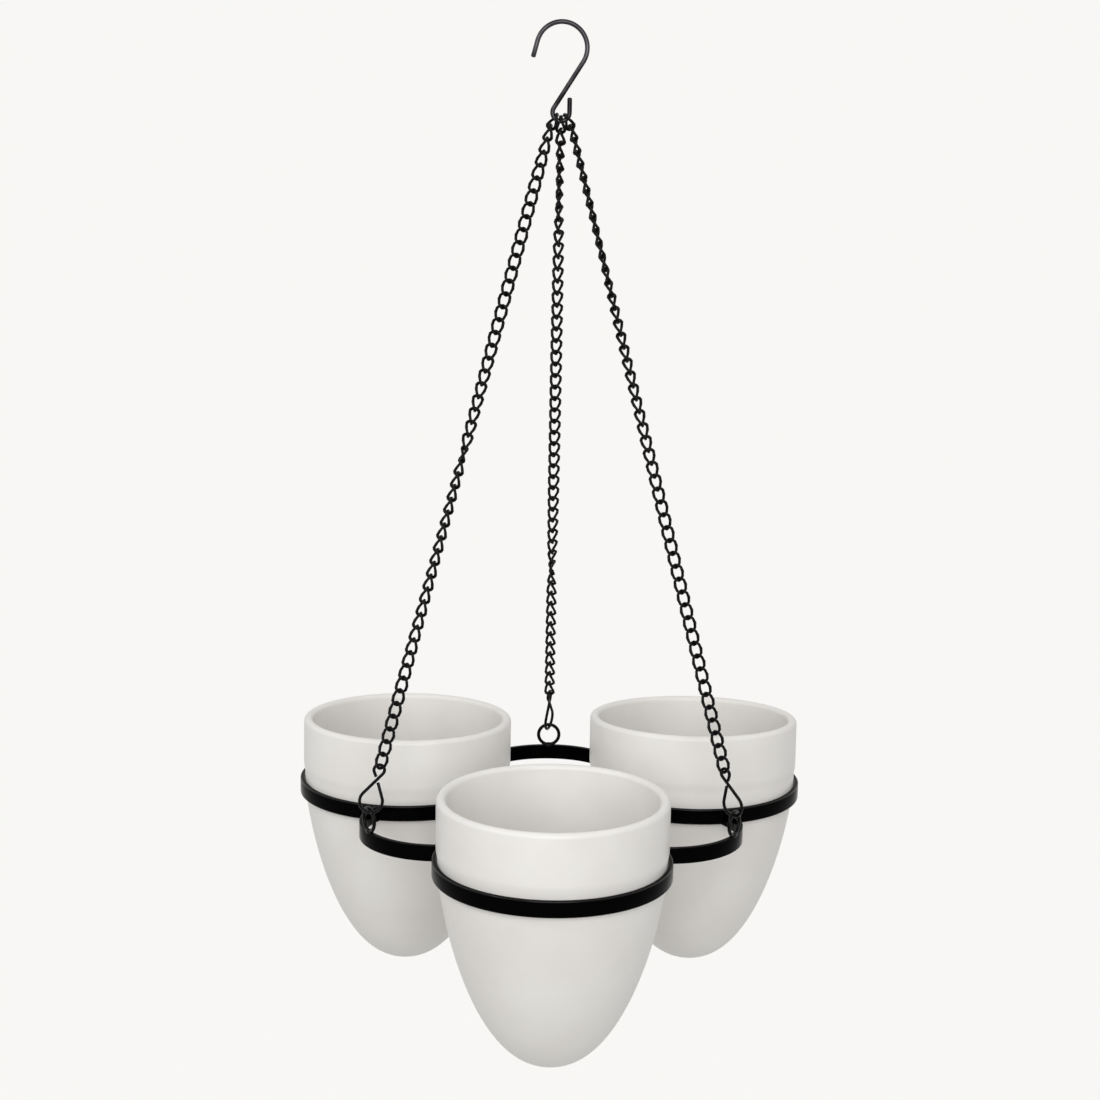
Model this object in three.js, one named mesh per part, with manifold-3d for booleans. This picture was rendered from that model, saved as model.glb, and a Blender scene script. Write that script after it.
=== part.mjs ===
// A hanging planter: three glazed ceramic pots, each standing in a ring of flat steel bar.
// Three short bridges of the same bar weld the rings into one frame, and each bridge carries an
// eyelet. A figure-eight clip and a twisted-link chain rise from every eyelet to one S-hook.
// Millimetres, Z up. The origin is the inner top of the S-hook, where it hangs on its bracket.
import * as THREE from "three";
import { mergeVertices } from "three/addons/utils/BufferGeometryUtils.js";
import Module from "manifold-3d";

const wasm = await Module();
wasm.setup();

// S-hook
const hookWire = 3;
const hookBendRadius = 15.5;
const hookEyeRadius = 5.2;
const hookLength = 62.3;
const hookOpenLeg = 10.3;
const hookOpenAngle = 15;
const hookEyeLeg = 9;

// Chains
const linksPerChain = 50;
const linkWire = 1.7;
const linkWidth = 7.3;
const linkPitch = 8.16;
const linkTwist = 45;
const linkPress = 0.24;
const linkRoundness = 0.8;
const topLinkSpread = 44;
const topLinkTurn = 28;

// Figure-eight clips
const clipWire = 2;
const clipLength = 32.5;
const clipSmallLoop = 8.6;
const clipBigLoop = 16.2;
const clipCrossing = 10;
const clipEndGap = 0.4;

// Eyelets
const eyeletOuter = 17;
const eyeletWire = 2.4;
const eyeletSink = 0.9;
const eyeletWeldWidth = 8;
const eyeletWeldHeight = 3;

// Frame of flat bar
const barHeight = 10;
const barThickness = 3;
const ringSpacing = 112;
const bridgeRadius = 49;
const bridgeOffset = 82;
const bridgeOverrun = 8;
const bridgeWeld = 3.4;

// Pots
const potRadius = 70;
const potHeight = 168.4;
const potWall = 6;
const potFloor = 9;
const collarHeight = 38.4;
const collarFlare = 8;
const ringSeat = 0.6;
const bodyRadius = 69.7;
const bodyFullness = 1.453;
const bodyRoundness = 0.445;

// What touches keeps this gap.
const gap = 0.3;

const roundSteps = 30;
const bodySteps = 5;
const bodyStepCrowding = 2.2;

const blackSteel = new THREE.MeshStandardMaterial({ color: 0x0e0e0f, roughness: 0.38, metalness: 0.2 });
const chainSteel = new THREE.MeshStandardMaterial({ color: 0x141415, roughness: 0.45, metalness: 0.5 });
const hookSteel = new THREE.MeshStandardMaterial({ color: 0x4a4a4c, roughness: 0.4, metalness: 0.8 });
const glaze = new THREE.MeshStandardMaterial({ color: 0xdedcd7, roughness: 0.42, metalness: 0 });

const planter = new THREE.Group();
const radians = THREE.MathUtils.degToRad;
const upward = new THREE.Vector3(0, 0, 1);

function solidOf(geometry) {
  geometry.deleteAttribute("normal");
  geometry.deleteAttribute("uv");
  const merged = mergeVertices(geometry, 1e-5);
  return new wasm.Manifold(new wasm.Mesh({
    numProp: 3,
    vertProperties: Float32Array.from(merged.attributes.position.array),
    triVerts: Uint32Array.from(merged.index.array),
  }));
}

function addPiece(name, solid, material) {
  const { vertProperties, triVerts } = solid.getMesh();
  const geometry = new THREE.BufferGeometry();
  geometry.setAttribute("position", new THREE.BufferAttribute(vertProperties, 3));
  geometry.setIndex(new THREE.BufferAttribute(triVerts, 1));
  geometry.computeVertexNormals();
  const mesh = new THREE.Mesh(geometry, material);
  mesh.name = name;
  planter.add(mesh);
}

// A path through given points, which a swept wire passes exactly.
class WirePath extends THREE.Curve {
  constructor(points) {
    super();
    this.points = points;
  }

  getPoint(t) {
    const last = this.points.length - 1;
    const place = THREE.MathUtils.clamp(t, 0, 1) * last;
    const index = Math.min(Math.floor(place), last - 1);
    return this.points[index].clone().lerp(this.points[index + 1], place - index);
  }

  getUtoTmapping(u) {
    return u;
  }
}

// Open wire, as a round section swept along its path.
function sweptWire(points, diameter, sides) {
  const section = new THREE.Shape(
    Array.from({ length: sides }, (_, i) => {
      const angle = (2 * Math.PI * i) / sides;
      return new THREE.Vector2(Math.cos(angle), Math.sin(angle)).multiplyScalar(diameter / 2);
    }),
  );
  const extrudePath = new WirePath(points);
  return solidOf(new THREE.ExtrudeGeometry(section, { steps: points.length - 1, extrudePath }));
}

// Wire welded into a closed loop.
function closedWire(points, diameter, sides) {
  const path = new WirePath([...points, points[0]]);
  return solidOf(new THREE.TubeGeometry(path, points.length, diameter / 2, sides, true));
}

function inFrontPlane(points) {
  return points.map((point) => new THREE.Vector3(point.x, 0, point.y));
}

function onCircle(radius, angle, z = 0) {
  return new THREE.Vector3(radius * Math.cos(radians(angle)), radius * Math.sin(radians(angle)), z);
}

// The S-hook is one wire bent in the XZ plane: an open leg, the large bend that hangs on the bracket,
// the straight shank, the small bend that holds the chains, and its short straight leg.
const hookBendCentre = hookWire / 2 - hookBendRadius;
const hookEyeCentre = 2 * hookWire - hookLength - hookWire / 2 + hookEyeRadius;

function makeHook() {
  const shankLean = Math.asin((hookBendRadius + hookEyeRadius) / (hookBendCentre - hookEyeCentre));
  const opening = radians(hookOpenAngle);
  const bendStart = Math.PI - opening;
  const tip = new THREE.Vector2(
    hookBendRadius * Math.cos(bendStart) - hookOpenLeg * Math.sin(opening),
    hookBendCentre + hookBendRadius * Math.sin(bendStart) - hookOpenLeg * Math.cos(opening),
  );
  const path = new THREE.Path();
  path.moveTo(tip.x, tip.y);
  path.absarc(0, hookBendCentre, hookBendRadius, bendStart, -shankLean, true);
  path.absarc(0, hookEyeCentre, hookEyeRadius, Math.PI - shankLean, 2 * Math.PI, false);
  path.lineTo(hookEyeRadius, hookEyeCentre + hookEyeLeg);
  return sweptWire(inFrontPlane(path.getPoints(6)), hookWire, 8);
}

// A link of curb chain: a long flat loop of wire, then twisted about its length by the link twist
// from its middle to each bow, so that its two bows stand square to each other. Its length lies
// along Z and its middle in the XZ plane.
const linkReach = (linkPitch + linkWire - linkPress) / 2;
const linkSpan = (linkWidth - linkWire) / 2;

function makeLink() {
  const rings = 8;
  const points = Array.from({ length: rings }, (_, i) => {
    const turn = (2 * Math.PI * (i + 0.5)) / rings;
    const round = (value) => Math.sign(value) * Math.abs(value) ** linkRoundness;
    const corner = 1 / round(Math.cos(Math.PI / rings));
    return new THREE.Vector3(
      linkSpan * corner * round(Math.cos(turn)),
      0,
      linkReach * corner * round(Math.sin(turn)),
    );
  });
  const flat = closedWire(points, linkWire / Math.cos(Math.PI / 6), 3);
  return flat.warp((vertex) => {
    const twist = -radians(linkTwist) * (vertex[2] / linkReach);
    const [x, y] = vertex;
    vertex[0] = x * Math.cos(twist) - y * Math.sin(twist);
    vertex[1] = x * Math.sin(twist) + y * Math.cos(twist);
  });
}

// Stands a flat piece on a hanging line: its Z axis points back up the line, and its flat face
// looks along the side direction, turned about the line by the given angle.
function hungFrame(centre, downwards, side, turn) {
  const across = side.clone().addScaledVector(downwards, -side.dot(downwards)).normalize();
  const other = downwards.clone().cross(across);
  const face = across.multiplyScalar(Math.cos(radians(turn)))
    .addScaledVector(other, Math.sin(radians(turn)));
  const back = downwards.clone().negate();
  const width = face.clone().cross(back);
  return new THREE.Matrix4().makeBasis(width, face, back).setPosition(centre);
}

// The figure-eight clip is one wire in one plane: from its upper end round the small loop, straight
// across the middle, round the big loop, and back to its lower end. Both ends stop at the strand.
function makeClip() {
  const top = (clipLength - clipWire) / 2;
  const crossing = clipLength / 2 - clipCrossing;
  const small = (clipSmallLoop - clipWire) / 2;
  const big = (clipBigLoop - clipWire) / 2;
  const smallCentre = top - small;
  const bigCentre = big - top;
  const smallLean = Math.asin(small / (smallCentre - crossing));
  const bigLean = Math.asin(big / (crossing - bigCentre));
  const path = new THREE.Path();
  const endReach = clipWire + clipEndGap;
  path.moveTo(-endReach * Math.sin(smallLean), crossing + endReach * Math.cos(smallLean));
  path.absarc(0, smallCentre, small, Math.PI + smallLean, -smallLean, true);
  path.absarc(0, bigCentre, big, Math.PI - bigLean, 2 * Math.PI + bigLean, false);
  path.lineTo(endReach * Math.sin(bigLean), crossing - endReach * Math.cos(bigLean));
  return sweptWire(inFrontPlane(path.getPoints(4)), clipWire, 5);
}

// Every chain hangs from the small bend by its own top link, spread along the bend and leaning
// towards its side of the frame. The turns are the lie of each chain, as share of its length and angle.
const hangers = [
  {
    side: "rear",
    azimuth: 90,
    topLink: { place: 0, fan: 0, lean: 9 },
    turns: [
      [0, -26], [0.05, -42], [0.12, 0], [0.24, 45], [0.4, 66],
      [0.6, 66], [0.74, 50], [0.8, 0], [0.87, -45], [1, -50],
    ],
    clipTurn: 21,
  },
  {
    side: "left",
    azimuth: 210,
    topLink: { place: -1, fan: -27, lean: -6 },
    turns: [
      [0, 92], [0.05, 60], [0.12, 35], [0.3, 20], [0.5, 2],
      [0.68, 62], [0.85, 45], [0.96, 20], [1, -16],
    ],
    clipTurn: 209,
  },
  {
    side: "right",
    azimuth: 330,
    topLink: { place: 1, fan: 27, lean: -6 },
    turns: [[0, 52], [0.2, 62], [0.3, 88], [0.45, 100], [0.56, 118], [0.75, 152], [0.96, 164], [1, 154]],
    clipTurn: 195,
  },
];

function turnAt(turns, share) {
  const next = Math.max(1, turns.findIndex(([place]) => place >= share));
  const [[fromPlace, fromTurn], [toPlace, toTurn]] = [turns[next - 1], turns[next]];
  return THREE.MathUtils.mapLinear(share, fromPlace, toPlace, fromTurn, toTurn);
}

const hookHold = (hookWire + linkWire) / 2 + gap;
const linkHold = linkWire + gap;
const clipHold = (linkWire + clipWire) / 2 + gap;
const eyeletHold = (clipWire + eyeletWire) / 2 + gap;
const eyeletCircle = bridgeOffset + bridgeRadius;

for (const hanger of hangers) {
  const { place, fan, lean } = hanger.topLink;
  const spread = place * topLinkSpread;
  const wirePoint = onCircle(hookEyeRadius, spread - 90);
  const bowOverWire = hookHold / Math.cos(radians(spread - fan));
  hanger.topDirection = new THREE.Vector3(
    Math.sin(radians(fan)),
    Math.sin(radians(lean)),
    -Math.cos(radians(fan)),
  ).normalize();
  const upperBow = new THREE.Vector3(wirePoint.x, 0, hookEyeCentre + wirePoint.y)
    .addScaledVector(hanger.topDirection, -bowOverWire);
  hanger.topCentre = upperBow.clone().addScaledVector(hanger.topDirection, linkReach);
  hanger.topBow = upperBow.clone().addScaledVector(hanger.topDirection, 2 * linkReach);
  hanger.wireDirection = new THREE.Vector3(Math.cos(radians(spread)), 0, Math.sin(radians(spread)));
}

// The rear chain sets the height of the frame. The other two share the difference, a few hundredths
// of a millimetre, among their links.
const clipReach = clipLength - clipWire;
const chainReach = (pitch) => 2 * linkReach + (linksPerChain - 1) * pitch;
const hangReach = chainReach(linkPitch) - linkHold - clipHold + clipReach;
const rearBow = hangers[0].topBow;
const eyeletTop = rearBow.z
  - Math.sqrt((hangReach - eyeletHold) ** 2 - (eyeletCircle - rearBow.y) ** 2);
const eyeletCentre = eyeletTop - (eyeletOuter - eyeletWire) / 2;
const barTop = eyeletCentre - eyeletOuter / 2 + eyeletSink;
const barBottom = barTop - barHeight;
const ringInner = potRadius - ringSeat;
const ringOuter = ringInner + barThickness;

function makeChain(start, direction, pitch, sideways, turns) {
  const links = Array.from({ length: linksPerChain }, (_, i) => {
    const centre = start.clone().addScaledVector(direction, linkReach + i * pitch);
    const turn = turnAt(turns, i / (linksPerChain - 1));
    return makeLink().transform(hungFrame(centre, direction, sideways, turn).toArray());
  });
  return wasm.Manifold.union(links);
}

// The eyelet is a welded ring of wire, standing on the top edge of its bridge. The bar cuts its foot,
// and a weld bead fills the two corners.
function makeEyelet(azimuth) {
  const radius = (eyeletOuter - eyeletWire) / 2;
  const ring = solidOf(new THREE.TorusGeometry(radius, eyeletWire / 2, 5, 14));
  const bead = solidOf(new THREE.SphereGeometry(1, 6, 4))
    .scale([eyeletWeldWidth / 2, eyeletWeldHeight / 2, barThickness / 2])
    .translate([0, eyeletSink - eyeletOuter / 2, 0]);
  const bar = solidOf(new THREE.BoxGeometry(eyeletOuter, eyeletOuter, eyeletOuter))
    .translate([0, eyeletSink + gap - eyeletOuter, 0]);
  const upright = new THREE.Matrix4().makeBasis(
    onCircle(1, azimuth - 90),
    upward,
    onCircle(1, azimuth),
  ).setPosition(onCircle(eyeletCircle, azimuth, eyeletCentre));
  return ring.add(bead).subtract(bar).transform(upright.toArray());
}

// A ring is flat bar rolled on edge and welded shut, lathed here about its own centre.
function makeRing(azimuth) {
  const profile = [
    [ringInner, barBottom],
    [ringOuter, barBottom],
    [ringOuter, barTop],
    [ringInner, barTop],
    [ringInner, barBottom],
  ].map(([radius, height]) => new THREE.Vector2(radius, height));
  return stood(new THREE.LatheGeometry(profile, roundSteps), onCircle(ringSpacing, azimuth));
}

// Turns a form made about the Y axis to stand on Z at a place.
function stood(geometry, { x, y, z }) {
  return solidOf(geometry).rotate([90, 0, 0]).translate([x, y, z]);
}

// A bridge is the same bar, rolled tighter, whose ends are trimmed to the two rings it joins. A weld
// bead fills each corner between its faces and a ring. It is made on the rear side, then turned.
function makeBridge(azimuth) {
  const rearCentre = onCircle(bridgeOffset, 90);
  const ringCentres = [30, 150].map((angle) => onCircle(ringSpacing, angle));
  const toRing = ringCentres[0].clone().sub(rearCentre);
  const distance = toRing.length();
  const endAngle = (radius) => Math.atan2(toRing.y, toRing.x)
    + Math.acos((radius ** 2 + distance ** 2 - ringOuter ** 2) / (2 * radius * distance));
  const inner = bridgeRadius - barThickness / 2;
  const outer = bridgeRadius + barThickness / 2;
  const start = endAngle(bridgeRadius) - radians(bridgeOverrun);
  const outline = new THREE.Shape();
  outline.absarc(rearCentre.x, rearCentre.y, outer, start, Math.PI - start, false);
  outline.absarc(rearCentre.x, rearCentre.y, inner, Math.PI - start, start, true);
  const bar = { depth: barHeight, bevelEnabled: false, curveSegments: 10 };
  let bridge = solidOf(new THREE.ExtrudeGeometry(outline, bar)).translate([0, 0, barBottom]);
  for (const radius of [inner, outer]) {
    for (const end of [endAngle(radius), Math.PI - endAngle(radius)]) {
      const bead = new THREE.CylinderGeometry(bridgeWeld / 2, bridgeWeld / 2, barHeight - bridgeWeld, 6);
      const corner = new THREE.Vector3(radius * Math.cos(end), radius * Math.sin(end), 0).add(rearCentre);
      bridge = bridge.add(stood(bead, corner.setZ((barTop + barBottom) / 2)));
    }
  }
  for (const centre of ringCentres) {
    const reach = ringOuter + gap;
    const trimmer = new THREE.CylinderGeometry(reach, reach, 3 * barHeight, roundSteps);
    bridge = bridge.subtract(stood(trimmer, centre.setZ(barTop)));
  }
  return bridge.rotate([0, 0, azimuth - 90]);
}

// A pot is slip-cast: a bullet-shaped body, a straight collar and a fully rounded lip. The foot of
// the collar widens gently, so the pot wedges in its ring. It can stand a little askew there, resting
// on the side that it leans to.
function makePot(azimuth, lean, leanAzimuth) {
  const lip = potWall / 2;
  const bodyHeight = potHeight - collarHeight;
  const seatRadius = ringInner - gap;
  const bodyShape = (share) => (1 - (1 - share) ** bodyFullness) ** bodyRoundness;
  const shares = (steps) => Array.from({ length: steps + 1 }, (_, i) => (i / steps) ** bodyStepCrowding);
  const outerBody = shares(bodySteps).slice(0, -1).map((share) => new THREE.Vector2(
    Math.min(bodyRadius * bodyShape(share), seatRadius),
    (share - 1) * bodyHeight,
  ));
  const collar = [new THREE.Vector2(seatRadius, 0), new THREE.Vector2(potRadius, collarFlare)];
  const lipArc = new THREE.Path()
    .absarc(potRadius - lip, collarHeight - lip, lip, 0, Math.PI, false)
    .getPoints(2);
  const cavityRadius = potRadius - potWall;
  const cavityHeight = bodyHeight - potFloor;
  const innerBody = shares(bodySteps - 1).reverse().map((share) => new THREE.Vector2(
    cavityRadius * bodyShape(share),
    (share - 1) * cavityHeight,
  ));
  const profile = [...outerBody, ...collar, ...lipArc, ...innerBody];
  const lifted = barTop + gap + seatRadius * Math.sin(radians(lean));
  return stood(new THREE.LatheGeometry(profile, roundSteps), new THREE.Vector3())
    .rotate([0, 0, -leanAzimuth])
    .rotate([0, lean, 0])
    .rotate([0, 0, leanAzimuth])
    .translate(onCircle(ringSpacing, azimuth, lifted).toArray());
}

planter.name = "hanging_planter";
addPiece("s_hook", makeHook(), hookSteel);

for (const hanger of hangers) {
  const { side, azimuth, turns, clipTurn } = hanger;
  const topFrame = hungFrame(hanger.topCentre, hanger.topDirection, hanger.wireDirection, -topLinkTurn);
  addPiece(`top_link_${side}`, makeLink().transform(topFrame.toArray()), chainSteel);

  const held = onCircle(eyeletCircle, azimuth, eyeletTop);
  const direction = held.clone().sub(hanger.topBow).normalize();
  const reach = held.distanceTo(hanger.topBow) + eyeletHold;
  const pitch = linkPitch + (reach - hangReach) / (linksPerChain - 1);
  const start = hanger.topBow.clone().addScaledVector(direction, -linkHold);
  const sideways = onCircle(1, azimuth + 90);
  addPiece(`chain_${side}`, makeChain(start, direction, pitch, sideways, turns), chainSteel);

  const clipCentre = held.clone().addScaledVector(direction, eyeletHold - clipReach / 2);
  const clipFrame = hungFrame(clipCentre, direction, sideways, clipTurn);
  addPiece(`clip_${side}`, makeClip().transform(clipFrame.toArray()), blackSteel);
  addPiece(`eyelet_${side}`, makeEyelet(azimuth), blackSteel);
  addPiece(`bridge_${side}`, makeBridge(azimuth), blackSteel);
}

// The two rear pots stand askew in their rings, away from the front one.
const places = [
  { place: "front", azimuth: -90, lean: 0, leanAzimuth: -90 },
  { place: "rear_right", azimuth: 30, lean: 3.6, leanAzimuth: 88 },
  { place: "rear_left", azimuth: 150, lean: 1.7, leanAzimuth: 76 },
];
for (const { place, azimuth, lean, leanAzimuth } of places) {
  addPiece(`ring_${place}`, makeRing(azimuth), blackSteel);
  addPiece(`pot_${place}`, makePot(azimuth, lean, leanAzimuth), glaze);
}

export default planter;
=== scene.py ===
import math

import bpy
from mathutils import Matrix, Vector


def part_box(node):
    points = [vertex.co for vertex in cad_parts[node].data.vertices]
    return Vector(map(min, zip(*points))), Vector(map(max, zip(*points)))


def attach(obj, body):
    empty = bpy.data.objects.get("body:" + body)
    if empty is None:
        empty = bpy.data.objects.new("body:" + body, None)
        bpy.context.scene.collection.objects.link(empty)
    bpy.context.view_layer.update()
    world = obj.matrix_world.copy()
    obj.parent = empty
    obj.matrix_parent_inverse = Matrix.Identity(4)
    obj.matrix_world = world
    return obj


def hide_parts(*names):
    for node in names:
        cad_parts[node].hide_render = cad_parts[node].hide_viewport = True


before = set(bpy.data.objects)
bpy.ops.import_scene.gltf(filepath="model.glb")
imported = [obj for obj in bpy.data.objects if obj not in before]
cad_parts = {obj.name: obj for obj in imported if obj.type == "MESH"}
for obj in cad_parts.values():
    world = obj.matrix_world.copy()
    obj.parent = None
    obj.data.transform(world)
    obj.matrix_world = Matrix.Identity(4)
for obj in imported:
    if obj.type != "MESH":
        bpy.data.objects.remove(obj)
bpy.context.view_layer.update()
mm = 0.001


# The camera.
# It stands 1.24 m in front of the planter, level with the upper ends of the chains, and looks
# slightly down. The photograph was taken with it rolled by nearly a degree.
yaw, pitch, roll = math.radians(0.755), math.radians(10.61), math.radians(0.853)
bpy.ops.object.camera_add(location=(-19.13 * mm, -1241.1 * mm, -93.4 * mm))
camera = bpy.context.object
camera.rotation_euler = (
    Matrix.Rotation(-yaw, 4, "Z")
    @ Matrix.Rotation(math.radians(90) - pitch, 4, "X")
    @ Matrix.Rotation(roll, 4, "Z")
).to_euler()
camera.data.sensor_width = 36
camera.data.lens = 64.65
bpy.context.scene.camera = camera


# S-hook.
# One piece of 3 mm steel wire, bent cold round two formers and sheared square at both ends. Its
# gunmetal plating carries painted reflections: lighter and darker patches in its colour.
def pick_only(piece):
    bpy.ops.object.select_all(action="DESELECT")
    piece.select_set(True)
    bpy.context.view_layer.objects.active = piece


def work(piece, kind, **settings):
    pick_only(piece)
    modifier = piece.modifiers.new(kind.lower(), kind)
    for setting, value in settings.items():
        setattr(modifier, setting, value)
    bpy.ops.object.modifier_apply(modifier=modifier.name)


def bend_wire(diameter, start, heading, moves, sides):
    """Bends wire in the XZ plane from a start point and heading: runs along (x, z), and bends of
    some degrees clockwise about (x, z), with so many steps."""
    bpy.ops.object.select_all(action="DESELECT")
    bpy.ops.mesh.primitive_circle_add(
        vertices=sides,
        radius=diameter / 2,
        location=(start[0], 0, start[1]),
        rotation=(0, math.atan2(heading[0], heading[1]), 0),
    )
    wire = bpy.context.object
    bpy.ops.object.transform_apply(location=True, rotation=True, scale=True)
    bpy.ops.object.mode_set(mode="EDIT")
    bpy.ops.mesh.select_mode(type="VERT")
    bpy.ops.mesh.select_all(action="SELECT")
    for kind, along, *turn in moves:
        if kind == "run":
            bpy.ops.mesh.extrude_region_move(
                TRANSFORM_OT_translate={"value": (along[0], 0, along[1])}
            )
        else:
            degrees, steps = turn
            bpy.ops.mesh.spin(
                steps=steps,
                angle=-math.radians(degrees),
                center=(along[0], 0, along[1]),
                axis=(0, 1, 0),
            )
    bpy.ops.mesh.edge_face_add()
    bpy.ops.mesh.select_all(action="DESELECT")
    bpy.ops.mesh.select_non_manifold()
    bpy.ops.mesh.edge_face_add()
    bpy.ops.mesh.select_all(action="SELECT")
    bpy.ops.mesh.remove_doubles(threshold=0.001 * mm)
    bpy.ops.mesh.normals_make_consistent(inside=False)
    bpy.ops.object.mode_set(mode="OBJECT")
    return wire


def polish(piece, degrees):
    pick_only(piece)
    bpy.ops.object.shade_smooth_by_angle(angle=math.radians(degrees))


def stands_for(piece, name, body, material, node):
    piece.name = name
    piece.data.name = name
    if not piece.data.materials:
        piece.data.materials.append(material)
    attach(piece, body)
    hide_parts(node)


def linear(hex_colour):
    channels = [int(hex_colour[i:i + 2], 16) / 255 for i in (1, 3, 5)]
    return [c / 12.92 if c <= 0.04045 else ((c + 0.055) / 1.055) ** 2.4 for c in channels] + [1]


def add_node(material, kind, settings, **inputs):
    """Adds a node, sets its settings, and gives each input a value or links it to a socket."""
    tree = material.node_tree
    node = tree.nodes.new(kind)
    for setting, value in settings.items():
        setattr(node, setting, value)
    for name, value in inputs.items():
        socket = node.inputs[name.replace("_", " ")]
        if isinstance(value, bpy.types.NodeSocket):
            tree.links.new(value, socket)
        else:
            socket.default_value = value
    return node


def new_material(name):
    material = bpy.data.materials.new(name)
    material.use_nodes = True
    return material, material.node_tree.nodes["Principled BSDF"]


def blend_colours(material, factor, stops):
    ramp = add_node(material, "ShaderNodeValToRGB", {}, Fac=factor)
    for place in range(len(stops) - 2):
        ramp.color_ramp.elements.new(0.5)
    for element, (position, colour) in zip(ramp.color_ramp.elements, stops):
        element.position = position
        element.color = colour
    return ramp.outputs["Color"]


def grey(value):
    return (value, value, value, 1)


# Gunmetal plating on drawn steel wire. Painted reflections make its colour lighter and darker in
# patches of a centimetre or two, and its gloss with it; the drawn surface has a very fine grain.
gunmetal, surface = new_material("gunmetal_plated_steel")
place = add_node(gunmetal, "ShaderNodeTexCoord", {}).outputs["Object"]
painted_reflection_patches = add_node(gunmetal, "ShaderNodeTexNoise", {}, Vector=place, Scale=55, Detail=2, Roughness=0.5)
grain = add_node(gunmetal, "ShaderNodeTexNoise", {}, Vector=place, Scale=1400, Detail=2)
surface.inputs["Metallic"].default_value = 1.0
# Painted reflections: the plating's colour runs between dark and light patches along the wire.
gunmetal.node_tree.links.new(
    blend_colours(
        gunmetal, painted_reflection_patches.outputs["Fac"], [(0.38, linear("#1D1C1E")), (0.62, linear("#48474A"))]
    ),
    surface.inputs["Base Color"],
)
gunmetal.node_tree.links.new(
    blend_colours(gunmetal, painted_reflection_patches.outputs["Fac"], [(0.3, grey(0.28)), (0.7, grey(0.2))]),
    surface.inputs["Roughness"],
)
bump = add_node(
    gunmetal, "ShaderNodeBump", {}, Height=grain.outputs["Fac"], Strength=0.015, Distance=0.02 * mm
)
gunmetal.node_tree.links.new(bump.outputs["Normal"], surface.inputs["Normal"])

hook_wire = 3 * mm
bend_centre = (0, -14 * mm)
eye_centre = (0, -52.6 * mm)
bend_radius = 15.5 * mm
eye_radius = 5.2 * mm
open_leg = 10.3 * mm
eye_leg = 9 * mm
opening = math.radians(15)
shank_lean = math.asin((bend_radius + eye_radius) / (bend_centre[1] - eye_centre[1]))
shank = math.sqrt((bend_centre[1] - eye_centre[1]) ** 2 - (bend_radius + eye_radius) ** 2)
upward = (math.sin(opening), math.cos(opening))
hook = bend_wire(
    hook_wire,
    (
        -bend_radius * upward[1] - open_leg * upward[0],
        bend_centre[1] + bend_radius * upward[0] - open_leg * upward[1],
    ),
    upward,
    [
        ("run", (open_leg * upward[0], open_leg * upward[1])),
        ("bend", bend_centre, 165 + math.degrees(shank_lean), 44),
        ("run", (-shank * math.sin(shank_lean), -shank * math.cos(shank_lean))),
        ("bend", eye_centre, -(180 + math.degrees(shank_lean)), 30),
        ("run", (0, eye_leg)),
    ],
    20,
)
work(hook, "BEVEL", width=0.9 * mm, segments=3, limit_method="ANGLE", angle_limit=math.radians(60))
polish(hook, 40)
stands_for(hook, "bent_hook", "hook", gunmetal, "s_hook")


# Chain links.
# Curb chain of 1.9 mm steel wire, blackened in oil. Each link is a loop, closed by a butt weld,
# then twisted a quarter turn so that the links lie neatly in each other.
link_wire = 1.9 * mm
link_width = 8.6 * mm
link_pitch = 8.16 * mm
link_overlap = 0.24 * mm
link_reach = (link_pitch + link_wire - link_overlap) / 2
link_twist = math.radians(90)

# Oil-blackened steel: nearly black, and duller where the oil has soaked in.
blackened, surface = new_material("oil_blackened_steel")
place = add_node(blackened, "ShaderNodeTexCoord", {}).outputs["Object"]
patches = add_node(blackened, "ShaderNodeTexNoise", {}, Vector=place, Scale=220, Detail=3)
surface.inputs["Specular IOR Level"].default_value = 0.12
blackened.node_tree.links.new(
    blend_colours(
        blackened, patches.outputs["Fac"], [(0.35, linear("#020202")), (0.7, linear("#0A0A0B"))]
    ),
    surface.inputs["Base Color"],
)
blackened.node_tree.links.new(
    blend_colours(blackened, patches.outputs["Fac"], [(0.35, grey(0.34)), (0.7, grey(0.5))]),
    surface.inputs["Roughness"],
)

bpy.ops.object.select_all(action="DESELECT")
bow_radius = (link_width - link_wire) / 2
bpy.ops.mesh.primitive_torus_add(
    major_radius=bow_radius,
    minor_radius=link_wire / 2 / math.cos(math.pi / 8),
    major_segments=16,
    minor_segments=8,
    rotation=(math.radians(90), 0, 0),
)
link = bpy.context.object
bpy.ops.object.transform_apply(location=True, rotation=True, scale=True)
bpy.ops.object.mode_set(mode="EDIT")
for side in (1, -1):
    bpy.ops.mesh.select_all(action="DESELECT")
    bpy.ops.object.mode_set(mode="OBJECT")
    for vertex in link.data.vertices:
        vertex.select = vertex.co.z * side > 0.01 * mm
    bpy.ops.object.mode_set(mode="EDIT")
    bpy.ops.transform.translate(value=(0, 0, side * (link_reach - bow_radius)))
bpy.ops.object.mode_set(mode="OBJECT")
bounding_length = 2 * link_reach + link_wire
work(
    link,
    "SIMPLE_DEFORM",
    deform_method="TWIST",
    deform_axis="Z",
    angle=-link_twist * bounding_length / (2 * link_reach),
)
polish(link, 180)


def copy_of(piece, matrix):
    twin = piece.copy()
    twin.data = piece.data.copy()
    twin.data.transform(matrix)
    bpy.context.scene.collection.objects.link(twin)
    return twin


def join(pieces):
    bpy.ops.object.select_all(action="DESELECT")
    for piece in pieces:
        piece.select_set(True)
    bpy.context.view_layer.objects.active = pieces[0]
    bpy.ops.object.join()
    return bpy.context.object


def around(radius, degrees, height=0.0):
    angle = math.radians(degrees)
    return Vector((radius * math.cos(angle), radius * math.sin(angle), height))


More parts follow.
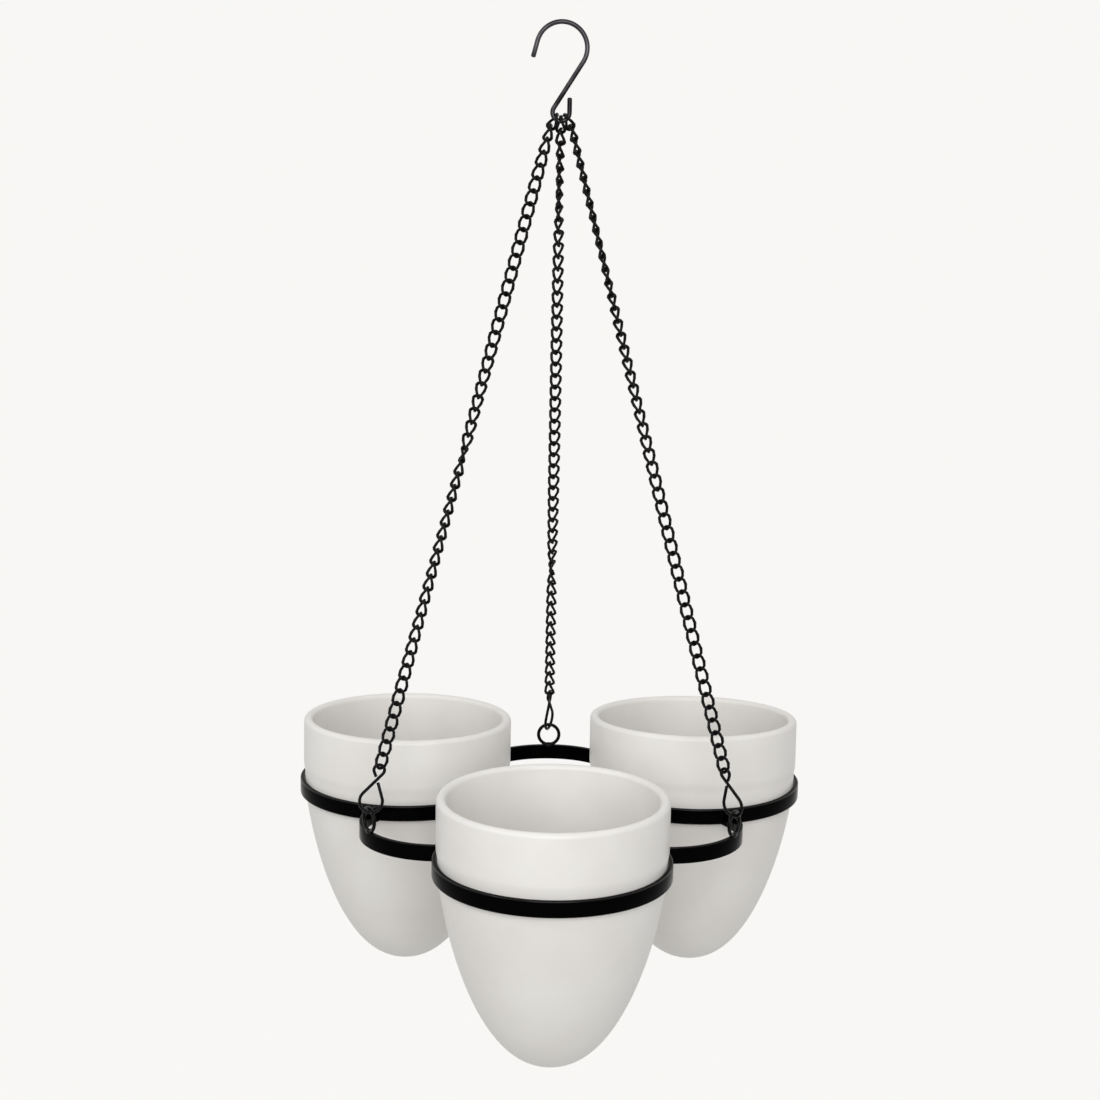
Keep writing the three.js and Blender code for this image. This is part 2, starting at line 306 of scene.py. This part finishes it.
def hung(centre, downwards, side, degrees):
    """Where a flat piece hangs: Z back up the line, Y the way its face looks, which is the side
    direction turned about the line."""
    across = (side - downwards * side.dot(downwards)).normalized()
    other = downwards.cross(across)
    turn = math.radians(degrees)
    face = across * math.cos(turn) + other * math.sin(turn)
    width = face.cross(-downwards)
    return Matrix.Translation(centre) @ Matrix((width, face, -downwards)).transposed().to_4x4()


# Top links.
# One single link for each chain, side by side on the hook's small bend, where they crowd each
# other and lean towards their own side of the frame.
play = 0.3 * mm
top_links = {
    "rear": {"azimuth": 90, "spread": 0, "fan": 0, "lean": 9},
    "left": {"azimuth": 210, "spread": -44, "fan": -27, "lean": -6},
    "right": {"azimuth": 330, "spread": 44, "fan": 27, "lean": -6},
}
bows = {}
for side, top in top_links.items():
    spread, fan, lean = (math.radians(top[angle]) for angle in ("spread", "fan", "lean"))
    on_wire = Vector((
        eye_radius * math.sin(spread),
        0,
        eye_centre[1] - eye_radius * math.cos(spread),
    ))
    hangs = Vector((math.sin(fan), math.sin(lean), -math.cos(fan))).normalized()
    upper_bow = on_wire - hangs * (((hook_wire + link_wire) / 2 + play) / math.cos(spread - fan))
    bows[side] = upper_bow + hangs * 2 * link_reach
    wire_direction = Vector((math.cos(spread), 0, math.sin(spread)))
    where = hung(upper_bow + hangs * link_reach, hangs, wire_direction, -28)
    top_link = copy_of(link, where)
    stands_for(
        top_link, f"upper_link_{side}", "top_links", blackened, f"top_link_{side}"
    )


# Chains.
# Fifty of the same links below each top link, pulled straight by the pots. Each chain has its own
# lie: its links turn about its line, slowly or within a link or two. Each lie is a list of places,
# as shares of the chain's length, and turns in degrees.
lies = {
    "rear": [
        (0, -30), (0.02, -12), (0.06, -5), (0.1, 1), (0.122, 8), (0.143, 22), (0.17, 38),
        (0.24, 50), (0.4, 66),
        (0.6, 64), (0.66, 52), (0.72, 42), (0.74, 22), (0.76, 2), (0.78, -30), (0.8, -42), (1, -45),
    ],
    "left": [
        (0, 92), (0.05, 60), (0.12, 35), (0.3, 15), (0.4, -10), (0.49, -20), (0.51, -58), (0.53, -88),
        (0.62, -90), (0.7, -96), (0.78, -106), (0.86, -130), (0.96, -148), (1, -156),
    ],
    "right": [
        (0, 52), (0.2, 62), (0.3, 88), (0.45, 102), (0.52, 120), (0.6, 136),
        (0.75, 152), (0.96, 164), (1, 154),
    ],
}
links_in_chain = 50
bar_bottom, bar_top = (corner.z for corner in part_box("ring_front"))
eyelet_circle = 131 * mm
eyelet_top = bar_top + 14.9 * mm
eyelet_hold = 2.5 * mm
clip_wire = 2 * mm
clip_reach = 30.5 * mm
top_play = 0.5 * mm
lines = {}
for side, turns in lies.items():
    azimuth = top_links[side]["azimuth"]
    held = around(eyelet_circle, azimuth, eyelet_top)
    line = (held - bows[side]).normalized()
    lines[side] = (held, line)
    first = bows[side] - line * (link_wire + top_play)
    last = held + line * (eyelet_hold - clip_reach + link_wire / 2 + clip_wire / 2 + play)
    pitch_here = ((last - first).length - 2 * link_reach) / (links_in_chain - 1)
    links = []
    for number in range(links_in_chain):
        share = number / (links_in_chain - 1)
        after = next(i for i in range(1, len(turns)) if turns[i][0] >= share)
        (from_share, from_turn), (to_share, to_turn) = turns[after - 1], turns[after]
        turn = from_turn + (to_turn - from_turn) * (share - from_share) / (to_share - from_share)
        centre = first + line * (link_reach + number * pitch_here)
        links.append(copy_of(link, hung(centre, line, around(1, azimuth + 90), turn)))
    chain = join(links)
    stands_for(chain, f"curb_chain_{side}", "hanger", blackened, f"chain_{side}")
bpy.data.objects.remove(link)


# Clips.
# Figure-eight clips of 2 mm spring wire, painted black. The small loop takes the last link and the
# big one the eyelet. The wire is one planar bend, and its two sheared ends stop at the strand.
small_loop = 3.3 * mm
big_loop = 7.1 * mm
clip_top = clip_reach / 2
crossing = 6.25 * mm
upper_reach = 1.4 * mm
lower_reach = 2.4 * mm
small_centre = (0, clip_top - small_loop)
big_centre = (0, big_loop - clip_top)
small_lean = math.asin(small_loop / (small_centre[1] - crossing))
big_lean = math.asin(big_loop / (crossing - big_centre[1]))


def on_loop(centre, radius, angle):
    return Vector((centre[0] + radius * math.cos(angle), centre[1] + radius * math.sin(angle)))


upper_end = Vector((
    -upper_reach * math.sin(small_lean),
    crossing + upper_reach * math.cos(small_lean),
))
lower_end = Vector((
    lower_reach * math.sin(big_lean),
    crossing - lower_reach * math.cos(big_lean),
))
small_start = on_loop(small_centre, small_loop, math.pi + small_lean)
small_end = on_loop(small_centre, small_loop, -small_lean)
big_start = on_loop(big_centre, big_loop, math.pi - big_lean)
big_end = on_loop(big_centre, big_loop, big_lean)
clip = bend_wire(
    clip_wire,
    upper_end,
    small_start - upper_end,
    [
        ("run", small_start - upper_end),
        ("bend", small_centre, 180 + 2 * math.degrees(small_lean), 18),
        ("run", big_start - small_end),
        ("bend", big_centre, -(180 + 2 * math.degrees(big_lean)), 26),
        ("run", lower_end - big_end),
    ],
    14,
)
work(clip, "BEVEL", width=0.15 * mm, segments=2, limit_method="ANGLE", angle_limit=math.radians(60))
polish(clip, 40)

# Black paint on steel wire: thin and semi-gloss, so the round wire shows a soft line of light.
wire_paint, surface = new_material("black_painted_wire")
place = add_node(wire_paint, "ShaderNodeTexCoord", {}).outputs["Object"]
mottle = add_node(wire_paint, "ShaderNodeTexNoise", {}, Vector=place, Scale=300, Detail=3)
surface.inputs["Base Color"].default_value = linear("#040404")
surface.inputs["Specular IOR Level"].default_value = 0.09
wire_paint.node_tree.links.new(
    blend_colours(wire_paint, mottle.outputs["Fac"], [(0.3, grey(0.2)), (0.7, grey(0.28))]),
    surface.inputs["Roughness"],
)
clip_turns = {"rear": 21, "left": 209, "right": 195}
for side, degrees in clip_turns.items():
    held, line = lines[side]
    azimuth = top_links[side]["azimuth"]
    centre = held + line * (eyelet_hold - clip_reach / 2)
    eight = copy_of(clip, hung(centre, line, around(1, azimuth + 90), degrees))
    stands_for(eight, f"figure_eight_{side}", "hanger", wire_paint, f"clip_{side}")
bpy.data.objects.remove(clip)


# Rings.
# Mild steel flat bar of 10 by 3 mm, rolled on edge round the pots, welded shut and painted black
# with the rest of the frame. Rolling and paint leave its edges slightly round.
bar_height = bar_top - bar_bottom
bar_thickness = 3 * mm
ring_outer = 72.4 * mm
ring_spacing = 112 * mm
ring_azimuths = {"front": -90, "rear_right": 30, "rear_left": 150}

# Black paint over steel: deep black and semi-gloss, with the faint waves of a sprayed coat.
bar_paint, surface = new_material("black_sprayed_paint")
place = add_node(bar_paint, "ShaderNodeTexCoord", {}).outputs["Object"]
orange_peel = add_node(bar_paint, "ShaderNodeTexNoise", {}, Vector=place, Scale=450, Detail=2)
dulling = add_node(bar_paint, "ShaderNodeTexNoise", {}, Vector=place, Scale=60, Detail=4)
surface.inputs["Base Color"].default_value = linear("#020202")
surface.inputs["Specular IOR Level"].default_value = 0.014
bar_paint.node_tree.links.new(
    blend_colours(bar_paint, dulling.outputs["Fac"], [(0.3, grey(0.12)), (0.7, grey(0.2))]),
    surface.inputs["Roughness"],
)
bump = add_node(
    bar_paint,
    "ShaderNodeBump",
    {},
    Height=orange_peel.outputs["Fac"],
    Strength=0.25,
    Distance=0.02 * mm,
)
bar_paint.node_tree.links.new(bump.outputs["Normal"], surface.inputs["Normal"])

# On the bar's rounded edges the paint is glossier, so they catch the lamps, and a touch
# lighter in colour: a painted highlight.
edge_paint_and_highlight, surface = new_material("black_paint_on_edges")
# Painted highlight: the edges get a slightly lighter black than the faces.
surface.inputs["Base Color"].default_value = linear("#060606")
surface.inputs["Specular IOR Level"].default_value = 0.17
surface.inputs["Roughness"].default_value = 0.14


def soften_bar(bar):
    bar.data.materials.append(bar_paint)
    bar.data.materials.append(edge_paint_and_highlight)
    # The bevels take the second material, with its painted highlight.
    work(
        bar,
        "BEVEL",
        width=0.6 * mm,
        segments=3,
        limit_method="ANGLE",
        angle_limit=math.radians(50),
        material=1,
    )
    polish(bar, 35)


bpy.ops.object.select_all(action="DESELECT")
bpy.ops.mesh.primitive_cylinder_add(
    vertices=144,
    radius=ring_outer,
    depth=bar_height,
    end_fill_type="NOTHING",
    location=around(0, 0, (bar_top + bar_bottom) / 2),
)
ring = bpy.context.object
bpy.ops.object.transform_apply(location=True, rotation=True, scale=True)
work(ring, "SOLIDIFY", thickness=bar_thickness, offset=-1)
soften_bar(ring)
for spot, azimuth in ring_azimuths.items():
    band = copy_of(ring, Matrix.Translation(around(ring_spacing, azimuth)))
    stands_for(band, f"rolled_ring_{spot}", "hanger", bar_paint, f"ring_{spot}")
bpy.data.objects.remove(ring)


# Bridges.
# Short arcs of the same flat bar, rolled tighter. Their ends are cut to fit against two rings, and
# a bead of weld is run down each corner before painting.
bridge_radius = 49 * mm
bridge_offset = 82 * mm
bead_radius = 1.7 * mm
bridge_centre = around(bridge_offset, 90)
ring_centre = around(ring_spacing, 30)
to_ring = ring_centre - bridge_centre


def end_angle(radius):
    distance = to_ring.length
    reach = (radius ** 2 + distance ** 2 - ring_outer ** 2) / (2 * radius * distance)
    return math.atan2(to_ring.y, to_ring.x) + math.acos(reach)


overrun = math.radians(8)
start = end_angle(bridge_radius) - overrun
bpy.ops.object.select_all(action="DESELECT")
bpy.ops.mesh.primitive_plane_add(
    size=1,
    location=(bridge_centre + around(bridge_radius, math.degrees(start))).to_tuple()[:2]
    + ((bar_top + bar_bottom) / 2,),
    rotation=(math.radians(90), 0, start),
)
bridge = bpy.context.object
bridge.scale = (bar_thickness, bar_height, 1)
bpy.ops.object.transform_apply(location=True, rotation=True, scale=True)
bpy.ops.object.mode_set(mode="EDIT")
bpy.ops.mesh.select_all(action="SELECT")
bpy.ops.mesh.spin(
    steps=64,
    angle=2 * start - math.pi,
    center=bridge_centre,
    axis=(0, 0, 1),
)
bpy.ops.mesh.select_all(action="SELECT")
bpy.ops.mesh.normals_make_consistent(inside=False)
bpy.ops.object.mode_set(mode="OBJECT")
for turn in (30, 150):
    bpy.ops.object.select_all(action="DESELECT")
    bpy.ops.mesh.primitive_cylinder_add(
        vertices=144,
        radius=ring_outer + 0.05 * mm,
        depth=3 * bar_height,
        location=around(ring_spacing, turn, bar_top),
    )
    trimmer = bpy.context.object
    work(bridge, "BOOLEAN", operation="DIFFERENCE", object=trimmer, solver="EXACT")
    bpy.data.objects.remove(trimmer)
soften_bar(bridge)

# The bead is a column of small overlapping puddles, pressed a little into each other.
puddles = 7
column = bar_height - 2 * bead_radius
parts = [bridge]
for radius in (bridge_radius - bar_thickness / 2, bridge_radius + bar_thickness / 2):
    for angle in (end_angle(radius), math.pi - end_angle(radius)):
        corner = bridge_centre + around(radius, math.degrees(angle))
        for puddle in range(puddles):
            height = bar_bottom + bead_radius + column * puddle / (puddles - 1)
            bpy.ops.object.select_all(action="DESELECT")
            bpy.ops.mesh.primitive_uv_sphere_add(
                segments=16,
                ring_count=8,
                radius=bead_radius,
                location=(corner.x, corner.y, height),
            )
            drop = bpy.context.object
            drop.data.materials.append(bar_paint)
            drop.scale = (1, 1, 0.6)
            bpy.ops.object.transform_apply(location=True, rotation=True, scale=True)
            polish(drop, 60)
            parts.append(drop)
bridge = join(parts)
for side, top in top_links.items():
    arc = copy_of(bridge, Matrix.Rotation(math.radians(top["azimuth"] - 90), 4, "Z"))
    stands_for(arc, f"rolled_bridge_{side}", "hanger", bar_paint, f"bridge_{side}")
bpy.data.objects.remove(bridge)


# Eyelets.
# Welded rings of 2.4 mm wire, each standing on the top edge of a bridge. Its foot is sunk in a
# small puddle of weld that runs over the edge of the bar, all under the same paint.
eyelet_wire = 2.4 * mm
eyelet_outer = 17 * mm
eyelet_sink = 0.9 * mm
eyelet_centre = bar_top + eyelet_outer / 2 - eyelet_sink
bpy.ops.object.select_all(action="DESELECT")
bpy.ops.mesh.primitive_torus_add(
    major_radius=(eyelet_outer - eyelet_wire) / 2,
    minor_radius=eyelet_wire / 2,
    major_segments=64,
    minor_segments=16,
    location=(0, eyelet_circle, eyelet_centre),
    rotation=(math.radians(90), 0, 0),
)
eyelet = bpy.context.object
bpy.ops.object.transform_apply(location=True, rotation=True, scale=True)
bpy.ops.object.select_all(action="DESELECT")
bpy.ops.mesh.primitive_uv_sphere_add(
    segments=24, ring_count=12, radius=1, location=(0, eyelet_circle, bar_top)
)
puddle = bpy.context.object
puddle.scale = (4 * mm, 1.9 * mm, 1.8 * mm)
bpy.ops.object.transform_apply(location=True, rotation=True, scale=True)
work(eyelet, "BOOLEAN", operation="UNION", object=puddle, solver="EXACT")
bpy.data.objects.remove(puddle)
polish(eyelet, 60)
for side, top in top_links.items():
    loop = copy_of(eyelet, Matrix.Rotation(math.radians(top["azimuth"] - 90), 4, "Z"))
    stands_for(loop, f"welded_eyelet_{side}", "hanger", wire_paint, f"eyelet_{side}")
bpy.data.objects.remove(eyelet)


# Pots.
# Slip-cast stoneware with a thick off-white satin glaze, inside and out: a bullet-shaped body, a
# straight collar and a round lip. The two rear ones stand a little askew in their rings.
pot_radius = 70 * mm
pot_wall = 6 * mm
floor_thickness = 9 * mm
collar_height = 38.4 * mm
collar_flare = 8 * mm
body_height = 130 * mm
seat_radius = 69.1 * mm
body_radius = 69.7 * mm
leans = {"front": (0, -90), "rear_right": (3.6, 88), "rear_left": (1.7, 76)}


# The body's radius at a share of its height, as a share of its widest. The two powers say how full
# the sides and how blunt the foot are.
side_power, foot_power = 1.453, 0.445


def bullet(share):
    return (1 - (1 - share) ** side_power) ** foot_power


outline = []
crowding = 2.2
for step in range(28):
    share = (step / 28) ** crowding
    outline.append((min(body_radius * bullet(share), seat_radius), (share - 1) * body_height))
for step in range(7):
    share = step / 6
    flare = seat_radius + (pot_radius - seat_radius) * (3 * share ** 2 - 2 * share ** 3)
    outline.append((flare, share * collar_flare))
lip = pot_wall / 2
for step in range(13):
    angle = math.pi * step / 12
    outline.append((
        pot_radius - lip + lip * math.cos(angle),
        collar_height - lip + lip * math.sin(angle),
    ))
for step in range(20, -1, -1):
    share = (step / 20) ** crowding
    outline.append((
        (pot_radius - pot_wall) * bullet(share),
        (share - 1) * (body_height - floor_thickness),
    ))

bpy.ops.object.select_all(action="DESELECT")
bpy.ops.mesh.primitive_plane_add(size=1 * mm, location=(0, 0, outline[0][1]))
pot = bpy.context.object
bpy.ops.object.transform_apply(location=True, rotation=True, scale=True)
bpy.ops.object.mode_set(mode="EDIT")
bpy.ops.mesh.select_all(action="SELECT")
bpy.ops.mesh.merge(type="CENTER")
for (radius, height), (next_radius, next_height) in zip(outline, outline[1:]):
    bpy.ops.mesh.extrude_vertices_move(
        TRANSFORM_OT_translate={"value": (next_radius - radius, 0, next_height - height)}
    )
bpy.ops.mesh.select_all(action="SELECT")
bpy.ops.mesh.spin(steps=120, angle=2 * math.pi, center=(0, 0, 0), axis=(0, 0, 1))
bpy.ops.mesh.select_all(action="SELECT")
bpy.ops.mesh.remove_doubles(threshold=0.005 * mm)
bpy.ops.mesh.normals_make_consistent(inside=False)
bpy.ops.object.mode_set(mode="OBJECT")
polish(pot, 60)

# Satin glaze: a warm off-white coat that pools a little unevenly, so its tone and gloss drift over
# centimetres. Fine pores in it dull the gloss.
glaze, surface = new_material("satin_stoneware_glaze")
place = add_node(glaze, "ShaderNodeTexCoord", {}).outputs["Object"]
pooling = add_node(
    glaze, "ShaderNodeTexNoise", {}, Vector=place, Scale=22, Detail=3, Roughness=0.45
)
pores = add_node(glaze, "ShaderNodeTexNoise", {}, Vector=place, Scale=700, Detail=2)
glaze.node_tree.links.new(
    blend_colours(
        glaze, pooling.outputs["Fac"], [(0.3, linear("#DFDCD8")), (0.7, linear("#E6E4E0"))]
    ),
    surface.inputs["Base Color"],
)
glaze.node_tree.links.new(
    blend_colours(glaze, pooling.outputs["Fac"], [(0.3, grey(0.36)), (0.7, grey(0.46))]),
    surface.inputs["Roughness"],
)
surface.inputs["IOR"].default_value = 1.52
bump = add_node(
    glaze, "ShaderNodeBump", {}, Height=pores.outputs["Fac"], Strength=0.08, Distance=0.03 * mm
)
glaze.node_tree.links.new(bump.outputs["Normal"], surface.inputs["Normal"])
for spot, (lean, lean_azimuth) in leans.items():
    lean = math.radians(lean)
    towards = math.radians(lean_azimuth)
    seat = around(ring_spacing, ring_azimuths[spot], bar_top + play + seat_radius * math.sin(lean))
    stance = (
        Matrix.Translation(seat)
        @ Matrix.Rotation(towards, 4, "Z")
        @ Matrix.Rotation(lean, 4, "Y")
        @ Matrix.Rotation(-towards, 4, "Z")
    )
    vessel = copy_of(pot, stance)
    stands_for(vessel, f"glazed_pot_{spot}", f"pot_{spot}", glaze, f"pot_{spot}")
bpy.data.objects.remove(pot)


# Studio.
# A pale floor well below the hanging pots and a plain pale room. Both show the same even tone to
# the camera, in gloss and through glass. The floor is only a little darker in the pots' shadow.
backdrop_colour = linear("#F8F7F5")
bpy.ops.object.select_all(action="DESELECT")
bpy.ops.mesh.primitive_plane_add(size=60, location=(0, 0, -1.9))
floor = bpy.context.object
floor.name = "floor"
floor_paint, surface = new_material("pale_floor")
surface.inputs["Base Color"].default_value = linear("#CBCAC8")
surface.inputs["Roughness"].default_value = 0.9
surface.inputs["Specular IOR Level"].default_value = 0.0
floor.data.materials.append(floor_paint)


def share_of_tone(material, most):
    """How much the camera, gloss and glass see of the studio's tone, and 0 for all other rays."""
    path = add_node(material, "ShaderNodeLightPath", {})
    gloss = add_node(material, "ShaderNodeMath", {"operation": "MAXIMUM"})
    seen = add_node(material, "ShaderNodeMath", {"operation": "MAXIMUM"})
    links = material.node_tree.links
    links.new(path.outputs["Is Glossy Ray"], gloss.inputs[0])
    links.new(path.outputs["Is Transmission Ray"], gloss.inputs[1])
    links.new(path.outputs["Is Camera Ray"], seen.inputs[0])
    links.new(gloss.outputs["Value"], seen.inputs[1])
    share = add_node(material, "ShaderNodeMath", {"operation": "MULTIPLY"})
    links.new(seen.outputs["Value"], share.inputs[0])
    share.inputs[1].default_value = most
    return share.outputs["Value"]


tone = add_node(floor_paint, "ShaderNodeEmission", {}, Color=linear("#FFFEFC"), Strength=1.0)
mix = add_node(floor_paint, "ShaderNodeMixShader", {}, Fac=share_of_tone(floor_paint, 0.9))
floor_paint.node_tree.links.new(surface.outputs["BSDF"], mix.inputs[1])
floor_paint.node_tree.links.new(tone.outputs["Emission"], mix.inputs[2])
floor_paint.node_tree.links.new(
    mix.outputs["Shader"], floor_paint.node_tree.nodes["Material Output"].inputs["Surface"]
)

# Soft lamps: a wide key in front and a small one high at the left. Each has a place, a size and
# watts.
lamps = {
    "key": ((0, -2.4, 0.6), 1.8, 37),
    "left": ((-1.6, -1.0, 1.0), 0.35, 6.5),
}
planter_middle = Vector((0, 0, -0.4))
for lamp, (location, size, power) in lamps.items():
    bpy.ops.object.light_add(type="AREA", location=location)
    light = bpy.context.object
    light.name = lamp
    aim = planter_middle - Vector(location)
    light.rotation_euler = aim.to_track_quat("-Z", "Y").to_euler()
    light.data.size = size
    light.data.energy = power

world = bpy.data.worlds.new("room")
bpy.context.scene.world = world
world.use_nodes = True
tone = world.node_tree.nodes["Background"]
tone.inputs["Color"].default_value = backdrop_colour
tone.inputs["Strength"].default_value = 1.0
glow = add_node(world, "ShaderNodeBackground", {}, Color=(1, 1, 1, 1), Strength=0.62)
mix = add_node(world, "ShaderNodeMixShader", {}, Fac=share_of_tone(world, 1.0))
world.node_tree.links.new(glow.outputs["Background"], mix.inputs[1])
world.node_tree.links.new(tone.outputs["Background"], mix.inputs[2])
world.node_tree.links.new(
    mix.outputs["Shader"], world.node_tree.nodes["World Output"].inputs["Surface"]
)
bpy.context.scene.view_settings.view_transform = "Standard"
